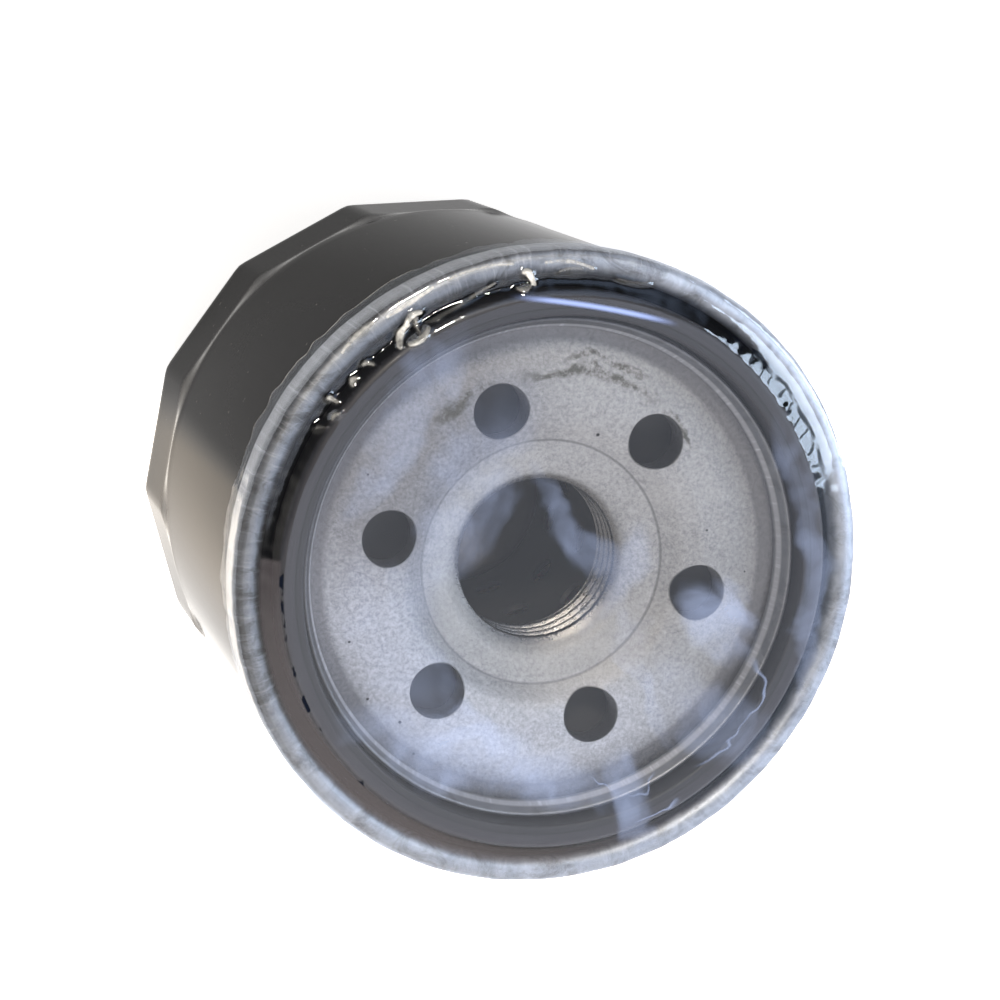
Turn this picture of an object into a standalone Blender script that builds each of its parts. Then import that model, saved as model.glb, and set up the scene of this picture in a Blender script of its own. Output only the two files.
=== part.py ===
"""Spin-on oil filter for a small engine, standing on its domed end.

The axis is Z. The dome's flat end is at Z = 0 and the gasket and the threaded
base are at the top. Inside the can are the pleated element on its perforated
tube, the anti-drain-back valve, the bypass valve and the leaf spring that
holds the element up. A clear shrink cap closes the base.
Sizes are given in millimetres and turned into metres by mm().
"""

import math

import bmesh
import bpy
from mathutils import Matrix, Vector

# Driving sizes, in millimetres
BODY_R = 33.8
SEAM_R = 34.3
TOTAL_H = 65.0
DATUM_Z = 60.4
FLUTES = 14
FLUTE_R = 34.3
FLUTE_PHASE_DEG = 14.8
GAP = 0.3
CAN_WALL = 0.6
LID_WALL = 0.5
CAP_WALL = 0.6
FILM_WALL = 0.4
FILM_END_Z = 56.5

HOLE_COUNT = 6
HOLE_PCD_R = 17.6
HOLE_R = 2.95

GASKET_OUTER_R = 30.0
GASKET_INNER_R = 27.4
GASKET_BOTTOM_Z = 60.65

THREAD_CREST_R = 8.73
THREAD_ROOT_R = 9.52
THREAD_PITCH = 25.4 / 16
THREAD_TOP_Z = 56.1
THREAD_END_Z = 50.8
THREAD_ROWS = 16

FLUTE_TOP_Z = 18.8
FLUTE_FULL_Z = 16.2
DOME_EDGE_Z = 5.4
DOME_FLAT_R = 28.2
DOME_RECESS_R = 18.0
DOME_RECESS_H = 1.0

TUBE_R = 11.2
TUBE_BOTTOM_Z = 11.8
TUBE_TOP_Z = 48.2
PLEATS = 36
PLEAT_OUTER_R = 28.2
PLEAT_INNER_R = 12.7
MEDIA_BOTTOM_Z = 12.9
MEDIA_TOP_Z = 47.1
MEDIA_WALL = 0.6
CLIP_BOTTOM_Z = 15.0
CLIP_TOP_Z = 45.0
ELEMENT_RIM_R = 29.3

SPRING_R = 4.2
SPRING_WIRE_R = 0.45
SPRING_TURNS = 5.0
SPRING_BOTTOM_Z = 15.6
SPRING_TOP_Z = 23.4

ROUND_STEPS = 48
INNER_STEPS = 32

BLACK_PAINT = ((0.035, 0.035, 0.037), 0.42, 0.0)
GALVANISED = ((0.62, 0.64, 0.67), 0.33, 1.0)
PLATE_STEEL = ((0.50, 0.50, 0.49), 0.5, 1.0)
TINPLATE = ((0.58, 0.57, 0.54), 0.35, 1.0)
NITRILE = ((0.045, 0.044, 0.05), 0.6, 0.0)
VALVE_RUBBER = ((0.06, 0.06, 0.06), 0.55, 0.0)
PAPER = ((0.72, 0.62, 0.42), 0.9, 0.0)
PLASTISOL = ((0.55, 0.20, 0.12), 0.6, 0.0)
SPRING_STEEL = ((0.42, 0.41, 0.40), 0.3, 1.0)
SEALANT = ((0.25, 0.33, 0.24), 0.7, 0.0)
CLEAR_FILM = ((0.80, 0.83, 0.90), 0.08, 0.0)


def mm(value):
    """Millimetres to metres."""
    return value * 0.001


def clear_scene():
    for old in list(bpy.data.objects):
        bpy.data.objects.remove(old, do_unlink=True)


def new_collection(name):
    group = bpy.data.collections.new(name)
    bpy.context.scene.collection.children.link(group)
    return group


def material(name, finish):
    """A Principled material from (colour, roughness, metallic)."""
    colour, roughness, metallic = finish
    mat = bpy.data.materials.new(name)
    mat.use_nodes = True
    shader = mat.node_tree.nodes["Principled BSDF"]
    shader.inputs["Base Color"].default_value = (*colour, 1.0)
    shader.inputs["Roughness"].default_value = roughness
    shader.inputs["Metallic"].default_value = metallic
    return mat


def add_object(name, data, group, finish=None):
    obj = bpy.data.objects.new(name, data)
    group.objects.link(obj)
    if finish is not None:
        data.materials.append(material(name, finish))
    return obj


def shade_smooth(obj):
    for face in obj.data.polygons:
        face.use_smooth = True


def arc(centre_r, centre_z, radius, start_deg, end_deg, count):
    """Points (r, z) of an arc, angles from +r towards +z."""
    points = []
    for i in range(count + 1):
        angle = math.radians(start_deg + (end_deg - start_deg) * i / count)
        points.append((centre_r + radius * math.cos(angle), centre_z + radius * math.sin(angle)))
    return points


def profile_mesh(name, points, closed):
    """Edges through (r, z) points in the XZ plane, ready for Screw."""
    bm = bmesh.new()
    verts = [bm.verts.new((mm(r), 0.0, mm(z))) for r, z in points]
    for first, second in zip(verts, verts[1:]):
        bm.edges.new((first, second))
    if closed:
        bm.edges.new((verts[-1], verts[0]))
    mesh = bpy.data.meshes.new(name)
    bm.to_mesh(mesh)
    bm.free()
    return mesh


def add_screw(obj, steps):
    screw = obj.modifiers.new("Turn", "SCREW")
    screw.axis = "Z"
    screw.steps = steps
    screw.render_steps = steps
    screw.use_merge_vertices = True
    screw.merge_threshold = 0.00001
    screw.use_smooth_shade = True
    return screw


def turned(name, points, group, finish, steps=INNER_STEPS, closed=True):
    """A solid turned from an outline that runs down its outer side."""
    obj = add_object(name, profile_mesh(name, points, closed), group, finish)
    add_screw(obj, steps)
    return obj


def turned_sheet(name, points, wall, group, finish, steps=INNER_STEPS):
    """Sheet metal turned about Z, its middle surface on the given points."""
    obj = turned(name, points, group, finish, steps, closed=False)
    add_solidify(obj, wall, 0.0)
    return obj


def add_solidify(obj, wall, offset):
    solid = obj.modifiers.new("Wall", "SOLIDIFY")
    solid.thickness = mm(wall)
    solid.offset = offset
    solid.use_even_offset = True
    return solid


def cut(obj, cutter):
    boolean = obj.modifiers.new("Cut", "BOOLEAN")
    boolean.operation = "DIFFERENCE"
    boolean.solver = "EXACT"
    boolean.object = cutter


def cutter_object(name, bm, group):
    mesh = bpy.data.meshes.new(name)
    bm.to_mesh(mesh)
    bm.free()
    obj = add_object(name, mesh, group)
    obj.hide_render = True
    obj.display_type = "WIRE"
    return obj


def add_rod(bm, place, radius, length, segments):
    """One closed cylinder, along local Z of its place matrix."""
    bmesh.ops.create_cone(
        bm,
        cap_ends=True,
        cap_tris=False,
        segments=segments,
        radius1=mm(radius),
        radius2=mm(radius),
        depth=mm(length),
        matrix=place,
    )


def upright(angle_deg, radius, z):
    """Place matrix of an upright piece at a polar position."""
    turn = Matrix.Rotation(math.radians(angle_deg), 4, "Z")
    return turn @ Matrix.Translation((mm(radius), 0.0, mm(z)))


def radial(angle_deg, radius, z):
    """Place matrix of a piece whose local Z points outwards."""
    lay_down = Matrix.Rotation(math.radians(90), 4, "Y")
    return upright(angle_deg, radius, z) @ lay_down


def mix(low, high, share):
    return low + (high - low) * share


def smooth_step(share):
    share = min(max(share, 0.0), 1.0)
    return share * share * (3.0 - 2.0 * share)


# Can

def flute_radius(angle, circle_r):
    """Radius of the fluted section that fits inside a circle."""
    sector = 2.0 * math.pi / FLUTES
    phase = (angle - math.radians(FLUTE_PHASE_DEG)) % sector
    flat_r = circle_r * math.cos(sector / 2.0)
    return flat_r / math.cos(phase - sector / 2.0)


def can_rows():
    """(r, z, share of flute) down the outside of the can."""
    rows = [(33.5, 61.5, 0.0), (32.95, 60.8, 0.0), (32.95, 58.3, 0.0)]
    rows += [(33.1, 57.5, 0.0), (BODY_R, 56.6, 0.0), (BODY_R, FLUTE_TOP_Z, 0.0)]
    steps = 3
    for i in range(1, steps + 1):
        share = i / steps
        bevel = smooth_step(share)
        rows.append((mix(BODY_R, FLUTE_R, bevel), mix(FLUTE_TOP_Z, FLUTE_FULL_Z, share), bevel))
    rows.append((FLUTE_R, DOME_EDGE_Z, 1.0))
    corner_r = FLUTE_R - DOME_FLAT_R
    for r, z in arc(DOME_FLAT_R, DOME_EDGE_Z, 1.0, 0.0, -90.0, 4)[1:]:
        across = DOME_FLAT_R + (r - DOME_FLAT_R) * corner_r
        down = DOME_EDGE_Z + (z - DOME_EDGE_Z) * DOME_EDGE_Z
        rows.append((across, down, (across - DOME_FLAT_R) / corner_r))
    rows += [(DOME_RECESS_R + 1.2, 0.0, 0.0), (DOME_RECESS_R, 0.25, 0.0)]
    rows += [(DOME_RECESS_R - 1.6, DOME_RECESS_H, 0.0), (7.0, DOME_RECESS_H, 0.0)]
    return rows


def make_can(group):
    """Drawn can: necked top flange, straight body, fluted domed end."""
    columns = FLUTES * 4
    start = math.radians(FLUTE_PHASE_DEG)
    bm = bmesh.new()
    last_ring = None
    for r, z, share in can_rows():
        ring = []
        for i in range(columns):
            angle = start + 2.0 * math.pi * i / columns
            radius = mix(r, flute_radius(angle, r), share)
            ring.append(bm.verts.new((mm(radius) * math.cos(angle), mm(radius) * math.sin(angle), mm(z))))
        if last_ring is not None:
            for i in range(columns):
                j = (i + 1) % columns
                bm.faces.new((last_ring[i], ring[i], ring[j], last_ring[j]))
        last_ring = ring
    bm.faces.new(list(reversed(last_ring)))
    mesh = bpy.data.meshes.new("can_shell")
    bm.to_mesh(mesh)
    bm.free()
    obj = add_object("can_shell", mesh, group, BLACK_PAINT)
    add_solidify(obj, CAN_WALL, -1.0)
    shade_smooth(obj)


# Base end

def make_seam_lid(group):
    """Pressed lid: gasket groove inside, rolled seam outside."""
    outer_r = SEAM_R - LID_WALL / 2
    chuck_r = 31.72
    roll_r = (outer_r - chuck_r) / 2
    roll_z = 62.3
    points = [(26.8, 62.52), (25.75, 60.5), (25.85, 60.2), (26.3, 60.1)]
    points += [(31.2, 60.1), (chuck_r, 60.6)]
    points += arc(chuck_r + roll_r, roll_z, roll_r, 180.0, 0.0, 4)
    points += [(outer_r, 59.4), (33.5, 59.0)]
    turned_sheet("seam_lid", points, LID_WALL, group, GALVANISED, ROUND_STEPS)


def make_seam_sealant(group):
    """Bead of sealing compound inside the rolled seam."""
    points = arc(32.8, 62.45, 0.38, 0.0, -360.0, 6)[:-1]
    turned("seam_sealant", points, group, SEALANT)


def plate_outline():
    """Upper face, funnel and underside of the base plate, from rim to neck."""
    top = [(30.8, 59.2), (30.5, 59.5), (25.3, 59.5), (21.0, 60.3), (HOLE_PCD_R, DATUM_Z), (15.5, 59.8)]
    top += [(13.4, 58.5), (11.6, 57.9), (10.2, 57.3), (9.2, 56.6)]
    under = [(9.6, THREAD_END_Z), (11.2, THREAD_END_Z), (11.2, 54.8), (11.7, 55.6), (13.6, 56.5)]
    under += [(16.5, 57.0), (30.5, 57.0), (30.8, 57.3)]
    return top, under


def thread_radius(angle, z):
    """Wall radius of the internal thread at an angle and a height."""
    turn = (z - THREAD_END_Z) / THREAD_PITCH - angle / (2.0 * math.pi)
    saw = abs((turn % 1.0) - 0.5) * 2.0
    ramp = min(max((saw - 0.2) / 0.6, 0.0), 1.0)
    fade = min((THREAD_TOP_Z - z) / 0.5, (z - THREAD_END_Z) / 0.5, 1.0)
    return THREAD_CREST_R + (THREAD_ROOT_R - THREAD_CREST_R) * ramp * max(fade, 0.0)


def make_tapping_plate(group, cutters):
    """Thick base plate with a drawn, threaded neck and six inlet holes."""
    top, under = plate_outline()
    rows = [[(r, z)] * ROUND_STEPS for r, z in top]
    for k in range(THREAD_ROWS + 1):
        z = mix(THREAD_TOP_Z, THREAD_END_Z, k / THREAD_ROWS)
        angles = [2.0 * math.pi * i / ROUND_STEPS for i in range(ROUND_STEPS)]
        rows.append([(thread_radius(angle, z), z) for angle in angles])
    rows += [[(r, z)] * ROUND_STEPS for r, z in under]
    bm = bmesh.new()
    rings = []
    for row in rows:
        ring = []
        for i, (r, z) in enumerate(row):
            angle = 2.0 * math.pi * i / ROUND_STEPS
            ring.append(bm.verts.new((mm(r) * math.cos(angle), mm(r) * math.sin(angle), mm(z))))
        rings.append(ring)
    for upper, lower in zip(rings, rings[1:] + rings[:1]):
        for i in range(ROUND_STEPS):
            j = (i + 1) % ROUND_STEPS
            bm.faces.new((upper[i], upper[j], lower[j], lower[i]))
    bmesh.ops.recalc_face_normals(bm, faces=bm.faces)
    mesh = bpy.data.meshes.new("tapping_plate")
    bm.to_mesh(mesh)
    bm.free()
    obj = add_object("tapping_plate", mesh, group, PLATE_STEEL)
    drills = bmesh.new()
    for k in range(HOLE_COUNT):
        add_rod(drills, upright(360.0 * k / HOLE_COUNT, HOLE_PCD_R, 58.5), HOLE_R, 8.0, 16)
    cut(obj, cutter_object("inlet_drills", drills, cutters))
    shade_smooth(obj)


def make_gasket(group):
    """Nitrile ring standing out of the lid's groove, rounder on its outer edge."""
    points = arc(GASKET_OUTER_R - 0.9, TOTAL_H - 0.9, 0.9, 90.0, 0.0, 3)
    points += arc(GASKET_OUTER_R - 0.5, GASKET_BOTTOM_Z + 0.5, 0.5, 0.0, -90.0, 1)
    points += arc(GASKET_INNER_R + 0.5, GASKET_BOTTOM_Z + 0.5, 0.5, -90.0, -180.0, 1)
    points += arc(GASKET_INNER_R + 0.3, TOTAL_H - 0.3, 0.3, 180.0, 90.0, 1)
    turned("base_gasket", points, group, NITRILE, ROUND_STEPS)


def make_film_cap(group):
    """Clear shrink cap over the base, with a skirt round the can."""
    skirt_r = 34.9
    top_z = TOTAL_H + GAP + FILM_WALL / 2
    points = [(skirt_r, FILM_END_Z), (skirt_r, 63.6), (34.4, 64.5), (31.3, top_z), (0.0, top_z)]
    turned_sheet("film_cap", list(reversed(points)), FILM_WALL, group, CLEAR_FILM, ROUND_STEPS)


# Element

def make_drainback_valve(group):
    """Moulded rubber collar round the neck with a conical lip under the inlets."""
    points = [(23.2, 56.68), (23.9, 56.6), (24.0, 56.2), (13.5, 53.0), (13.2, 52.4), (13.2, 49.4), (11.2, 49.4)]
    points += [(11.2, 50.5), (11.5, 50.5), (11.5, 54.3), (12.6, 54.3)]
    turned("drainback_valve", points, group, VALVE_RUBBER)


def make_element_caps(group):
    """Pressed end caps that close the two ends of the pleated element."""
    upper = [(ELEMENT_RIM_R, 45.6), (ELEMENT_RIM_R, 48.3), (28.8, 48.8), (11.1, 48.8), (10.6, 49.3), (10.6, 50.15)]
    turned_sheet("element_cap_upper", list(reversed(upper)), CAP_WALL, group, TINPLATE)
    lower = [(9.7, 11.2), (28.8, 11.2), (ELEMENT_RIM_R, 11.7), (ELEMENT_RIM_R, 14.4)]
    turned_sheet("element_cap_lower", lower, CAP_WALL, group, TINPLATE)


def make_adhesive(group):
    """Rings of cured adhesive that bed the paper in the end caps."""
    for name, low_z in (("adhesive_upper", 47.4), ("adhesive_lower", 11.8)):
        points = [(28.6, low_z + 0.8), (28.6, low_z), (11.9, low_z), (11.9, low_z + 0.8)]
        turned(name, points, group, PLASTISOL)


def make_centre_tube(group, cutters):
    """Perforated steel tube that carries the element and the clean oil."""
    points = [(TUBE_R, TUBE_TOP_Z), (TUBE_R, TUBE_BOTTOM_Z)]
    obj = turned_sheet("centre_tube", points, CAP_WALL, group, TINPLATE)
    rows = 4
    around = 6
    drills = bmesh.new()
    for row in range(rows):
        z = mix(TUBE_BOTTOM_Z + 15.6, TUBE_TOP_Z - 4.0, row / (rows - 1))
        for k in range(around):
            angle = 360.0 * (k + 0.5 * (row % 2)) / around
            add_rod(drills, radial(angle, TUBE_R, z), 1.6, 3.0, 8)
    cut(obj, cutter_object("tube_punches", drills, cutters))


def pleat_section():
    """(radius, angle) round the pleated paper, four points to a pleat."""
    points = []
    pitch = 2.0 * math.pi / PLEATS
    outer_half = 0.4 / PLEAT_OUTER_R
    inner_half = pitch / 2.0 - 0.75 / PLEAT_INNER_R
    for k in range(PLEATS):
        middle = k * pitch
        points.append((PLEAT_OUTER_R, middle - outer_half))
        points.append((PLEAT_OUTER_R, middle + outer_half))
        points.append((PLEAT_INNER_R, middle + pitch / 2.0 - inner_half / 2.0))
        points.append((PLEAT_INNER_R, middle + pitch / 2.0 + inner_half / 2.0))
    return points


def make_media(group):
    """One strip of filter paper, folded and joined into a ring of pleats."""
    section = pleat_section()
    bm = bmesh.new()
    rings = []
    for z in (MEDIA_TOP_Z, MEDIA_BOTTOM_Z):
        rings.append([bm.verts.new((mm(r) * math.cos(a), mm(r) * math.sin(a), mm(z))) for r, a in section])
    count = len(section)
    for i in range(count):
        j = (i + 1) % count
        bm.faces.new((rings[0][i], rings[1][i], rings[1][j], rings[0][j]))
    mesh = bpy.data.meshes.new("pleated_media")
    bm.to_mesh(mesh)
    bm.free()
    obj = add_object("pleated_media", mesh, group, PAPER)
    add_solidify(obj, MEDIA_WALL, 0.0)


def make_seam_clip(group):
    """Crimped metal channel over the fold where the paper's ends meet."""
    inner_half = 1.15
    wall = 0.5
    depth = 3.0
    inner_x = PLEAT_OUTER_R + MEDIA_WALL / 2 + GAP
    outer_x = inner_x + wall
    front_x = outer_x - depth
    outer_half = inner_half + wall
    corners = [(front_x, -outer_half), (outer_x, -outer_half), (outer_x, outer_half)]
    corners += [(front_x, outer_half), (front_x, inner_half), (inner_x, inner_half)]
    corners += [(inner_x, -inner_half), (front_x, -inner_half)]
    extrude_outline("media_seam_clip", corners, CLIP_BOTTOM_Z, CLIP_TOP_Z, group, TINPLATE)


# Bypass valve

def make_bypass(group, cutters):
    """Seat, sprung poppet and cage in the element's lower end cap."""
    seat = [(10.2, 12.1), (8.8, 12.1), (8.8, 10.9), (5.6, 10.9), (5.2, 11.3), (5.2, 12.0)]
    turned_sheet("bypass_seat", seat, CAP_WALL, group, TINPLATE)

    seal = [(7.2, 13.7), (7.2, 12.7), (3.0, 12.7), (3.0, 13.7)]
    turned("bypass_seal", seal, group, NITRILE)

    poppet = [(0.0, 27.2), (0.9, 27.2), (1.4, 26.7), (1.4, 15.4), (1.9, 14.9), (7.2, 14.9), (7.5, 14.6)]
    poppet += [(7.5, 14.0), (0.0, 14.0)]
    turned("bypass_poppet", poppet, group, TINPLATE, closed=False)

    cage = [(2.1, 24.2), (9.4, 24.2), (10.1, 23.5), (10.1, 12.75)]
    obj = turned_sheet("bypass_cage", cage, LID_WALL, group, TINPLATE)
    windows = bmesh.new()
    for k in range(4):
        place = upright(90.0 * k + 45.0, 10.0, 18.2) @ Matrix.Diagonal((mm(4.0), mm(9.0), mm(7.0), 1.0))
        bmesh.ops.create_cube(windows, size=1.0, matrix=place)
    cut(obj, cutter_object("cage_windows", windows, cutters))


def helix_points(radius, low_z, high_z, turns, per_turn):
    count = int(turns * per_turn)
    points = []
    for i in range(count + 1):
        angle = 2.0 * math.pi * i / per_turn
        points.append(Vector((mm(radius) * math.cos(angle), mm(radius) * math.sin(angle), mm(mix(low_z, high_z, i / count)))))
    return points


def make_bypass_spring(group):
    """Round-wire compression spring between the poppet and the cage."""
    points = helix_points(SPRING_R, SPRING_BOTTOM_Z, SPRING_TOP_Z, SPRING_TURNS, 12)
    curve = bpy.data.curves.new("bypass_spring", "CURVE")
    curve.dimensions = "3D"
    curve.bevel_depth = mm(SPRING_WIRE_R)
    curve.bevel_resolution = 2
    curve.use_fill_caps = True
    spline = curve.splines.new("POLY")
    spline.points.add(len(points) - 1)
    for point, place in zip(spline.points, points):
        point.co = (*place, 1.0)
    add_object("bypass_spring", curve, group, SPRING_STEEL)


# Support spring

def make_support_spring(group):
    """Stamped leaf spring: a hub ring with four bent legs on the dome."""
    segments = 24
    hub_z = 10.0
    inner_r = 10.0
    outer_r = 14.2
    legs = 4
    leg_path = ((16.5, 9.6), (18.6, 8.0), (20.2, 5.2), (21.6, 2.4), (23.0, 1.35), (24.6, 1.3), (25.6, 1.9))
    bm = bmesh.new()
    rings = []
    for r in (inner_r, outer_r):
        ring = []
        for i in range(segments):
            angle = 2.0 * math.pi * (i + 0.5) / segments
            ring.append(bm.verts.new((mm(r) * math.cos(angle), mm(r) * math.sin(angle), mm(hub_z))))
        rings.append(ring)
    for i in range(segments):
        j = (i + 1) % segments
        bm.faces.new((rings[0][i], rings[1][i], rings[1][j], rings[0][j]))
    for leg in range(legs):
        middle = leg * segments // legs
        roots = [rings[1][(middle + side) % segments] for side in (-2, -1, 0, 1)]
        angle = 2.0 * math.pi * middle / segments
        outward = Vector((math.cos(angle), math.sin(angle), 0.0))
        across = Vector((-math.sin(angle), math.cos(angle), 0.0))
        shares = [root.co.dot(across) for root in roots]
        last = roots
        for r, z in leg_path:
            row = []
            for share in shares:
                place = outward * mm(r) + across * share + Vector((0.0, 0.0, mm(z)))
                row.append(bm.verts.new(place))
            for a, b, c, d in zip(last, row, row[1:], last[1:]):
                bm.faces.new((a, b, c, d))
            last = row
    mesh = bpy.data.meshes.new("support_spring")
    bm.to_mesh(mesh)
    bm.free()
    obj = add_object("support_spring", mesh, group, SPRING_STEEL)
    add_solidify(obj, CAP_WALL, 0.0)


def extrude_outline(name, corners, low_z, high_z, group, finish):
    """A flat outline extruded up Z."""
    curve = bpy.data.curves.new(name, "CURVE")
    curve.dimensions = "2D"
    curve.fill_mode = "BOTH"
    curve.extrude = mm((high_z - low_z) / 2)
    spline = curve.splines.new("POLY")
    spline.points.add(len(corners) - 1)
    for point, (x, y) in zip(spline.points, corners):
        point.co = (mm(x), mm(y), 0.0, 1.0)
    spline.use_cyclic_u = True
    obj = add_object(name, curve, group, finish)
    obj.location.z = mm((high_z + low_z) / 2)
    return obj


def main():
    clear_scene()
    group = new_collection("oil_filter")
    cutters = new_collection("oil_filter_cutters")
    make_can(group)
    make_seam_lid(group)
    make_seam_sealant(group)
    make_tapping_plate(group, cutters)
    make_gasket(group)
    make_film_cap(group)
    make_drainback_valve(group)
    make_element_caps(group)
    make_adhesive(group)
    make_centre_tube(group, cutters)
    make_media(group)
    make_seam_clip(group)
    make_bypass(group, cutters)
    make_bypass_spring(group)
    make_support_spring(group)


main()
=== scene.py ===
"""Looks of the small-engine oil filter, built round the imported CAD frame.

Units are metres; sizes are written in millimetres and passed through mm().
Heights named ..._Z are measured in the row frame, with the dome's flat at 0.
"""

import math

import bmesh
import bpy
import numpy as np
from mathutils import Matrix, Vector, noise


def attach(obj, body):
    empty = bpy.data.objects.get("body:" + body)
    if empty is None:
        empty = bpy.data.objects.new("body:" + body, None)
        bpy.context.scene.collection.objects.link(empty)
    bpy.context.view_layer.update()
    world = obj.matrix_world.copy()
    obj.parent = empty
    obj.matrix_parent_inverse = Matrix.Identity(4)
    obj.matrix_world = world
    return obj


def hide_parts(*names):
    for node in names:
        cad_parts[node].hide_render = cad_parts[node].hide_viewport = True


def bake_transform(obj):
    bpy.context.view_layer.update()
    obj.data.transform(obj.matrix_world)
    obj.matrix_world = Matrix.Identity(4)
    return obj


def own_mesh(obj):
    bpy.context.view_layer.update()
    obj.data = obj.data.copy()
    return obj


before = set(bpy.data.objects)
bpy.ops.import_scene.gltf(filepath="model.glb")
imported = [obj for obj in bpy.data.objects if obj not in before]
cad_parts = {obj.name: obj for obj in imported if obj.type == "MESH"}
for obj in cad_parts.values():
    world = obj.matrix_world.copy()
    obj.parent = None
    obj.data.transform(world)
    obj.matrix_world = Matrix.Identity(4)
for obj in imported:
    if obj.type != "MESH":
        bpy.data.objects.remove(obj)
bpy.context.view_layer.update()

# Sizes, in millimetres, as the CAD states them
BODY_R = 33.8
SEAM_R = 34.3
GASKET_TOP_Z = 65.0
DATUM_Z = 60.4
FLUTES = 14
FLUTE_R = 34.3
FLUTE_PHASE = math.radians(14.8)
FLUTE_TOP_Z = 18.8
FLUTE_FULL_Z = 16.4
CAN_WALL = 0.6
LID_WALL = 0.5
HOLE_PCD_R = 17.6
HOLE_R = 2.95
HOLES = 6
THREAD_CREST_R = 8.73
THREAD_ROOT_R = 9.52
THREAD_PITCH = 25.4 / 16
THREAD_TOP_Z = 56.1
THREAD_END_Z = 50.8
FILM_REST_Z = 65.12
FILM_END_Z = 56.9

TAU = 2.0 * math.pi


def mm(value):
    return value * 0.001


def cos_deg(angle):
    return math.cos(math.radians(angle))


def mix(low, high, share):
    return low + (high - low) * share


def smooth_step(low, high, value):
    share = np.clip((value - low) / (high - low), 0.0, 1.0)
    return share * share * (3.0 - 2.0 * share)


def bump_at(angle, centre_deg, half_width_deg):
    """1 at an azimuth, falling smoothly to 0 at half_width_deg either side."""
    gap = np.abs((np.degrees(angle) - centre_deg + 180.0) % 360.0 - 180.0)
    return 1.0 - smooth_step(0.0, half_width_deg, gap)


def ripple(angle, waves, seed):
    """A sum of sine waves round the axis; waves is (count, size) pairs."""
    rng = np.random.default_rng(seed)
    total = np.zeros_like(angle)
    for count, size in waves:
        total = total + size * np.sin(count * angle + rng.uniform(0.0, TAU))
    return total


# Outlines and meshes

def rounded(corners, closed=False, step_deg=12.0):
    """Points (r, z) through corners (r, z, fillet radius), arcs at each fillet."""
    points = []
    count = len(corners)
    for i, corner in enumerate(corners):
        here = Vector(corner[:2])
        fillet = corner[2] if len(corner) > 2 else 0.0
        ends = not closed and i in (0, count - 1)
        if ends or fillet <= 0.0:
            points.append(here.copy())
            continue
        back = (Vector(corners[i - 1][:2]) - here)
        ahead = (Vector(corners[(i + 1) % count][:2]) - here)
        half = back.angle(ahead) / 2.0
        reach = min(fillet / math.tan(half), 0.49 * back.length, 0.49 * ahead.length)
        radius = reach * math.tan(half)
        start = here + back.normalized() * reach
        centre = here + (back.normalized() + ahead.normalized()).normalized() * (radius / math.sin(half))
        from_centre = start - centre
        sweep = math.pi - 2.0 * half
        side = -1.0 if back.cross(ahead) > 0.0 else 1.0
        steps = max(2, int(math.degrees(sweep) / step_deg))
        for k in range(steps + 1):
            turn = Matrix.Rotation(side * sweep * k / steps, 2)
            points.append(centre + turn @ from_centre)
    return [(p.x, p.y) for p in points]


def spaced(points, longest, closed=False):
    """The same outline with no edge longer than longest."""
    out = []
    pairs = list(zip(points, points[1:] + points[:1])) if closed else list(zip(points, points[1:]))
    for (r0, z0), (r1, z1) in pairs:
        parts = max(1, math.ceil(math.hypot(r1 - r0, z1 - z0) / longest))
        for k in range(parts):
            out.append((mix(r0, r1, k / parts), mix(z0, z1, k / parts)))
    if not closed:
        out.append(points[-1])
    return out


def sheet_outline(points, wall):
    """Closed outline of a sheet whose middle follows points, with round edges."""
    line = np.array(points)
    along = np.gradient(line, axis=0)
    along /= np.linalg.norm(along, axis=1)[:, None]
    normal = np.stack([along[:, 1], -along[:, 0]], axis=1)
    left = line + normal * wall / 2.0
    right = line - normal * wall / 2.0

    def round_end(place, side, ahead):
        return [place + (side * math.cos(a) + ahead * math.sin(a)) * wall / 2.0 for a in (0.8, 1.57, 2.34)]

    turn_out = round_end(line[-1], normal[-1], along[-1])
    turn_in = round_end(line[0], -normal[0], -along[0])
    return [tuple(p) for p in list(left) + turn_out + list(right[::-1]) + turn_in]


def new_object(name, data):
    obj = bpy.data.objects.new(name, data)
    bpy.context.scene.collection.objects.link(obj)
    return obj


def smooth(mesh, sharp_deg):
    mesh.shade_smooth()
    if sharp_deg is not None:
        mesh.set_sharp_from_angle(angle=math.radians(sharp_deg))


def add_mesh(name, verts, faces, sharp_deg=None):
    mesh = bpy.data.meshes.new(name)
    mesh.from_pydata([tuple(v) for v in verts], [], faces)
    bm = bmesh.new()
    bm.from_mesh(mesh)
    bmesh.ops.remove_doubles(bm, verts=bm.verts, dist=1e-7)
    bmesh.ops.recalc_face_normals(bm, faces=bm.faces)
    bm.to_mesh(mesh)
    bm.free()
    smooth(mesh, sharp_deg)
    return new_object(name, mesh)


def grid_faces(rows, columns, wrap_rows, wrap_columns):
    faces = []
    for j in range(rows if wrap_rows else rows - 1):
        below = (j + 1) % rows
        for i in range(columns if wrap_columns else columns - 1):
            side = (i + 1) % columns
            faces.append((j * columns + i, j * columns + side, below * columns + side, below * columns + i))
    return faces


def ring(r, angle, z):
    return np.stack([r * np.cos(angle), r * np.sin(angle), z], axis=-1)


def lathe(name, points, columns, closed=True, warp=None, sharp_deg=None, start=0.0):
    """Turns (r, z) points, in millimetres, about the axis. warp(r, z, angle) shifts them."""
    outline = np.array(points)
    angle = start + TAU * np.arange(columns) / columns
    r = np.repeat(outline[:, :1], columns, axis=1)
    z = np.repeat(outline[:, 1:], columns, axis=1)
    turn = np.repeat(angle[None, :], len(outline), axis=0)
    if warp is not None:
        r, z = warp(r, z, turn)
    xyz = ring(r, turn, z).reshape(-1, 3) * 0.001
    faces = grid_faces(len(outline), columns, closed, True)
    return add_mesh(name, xyz, faces, sharp_deg)


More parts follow.
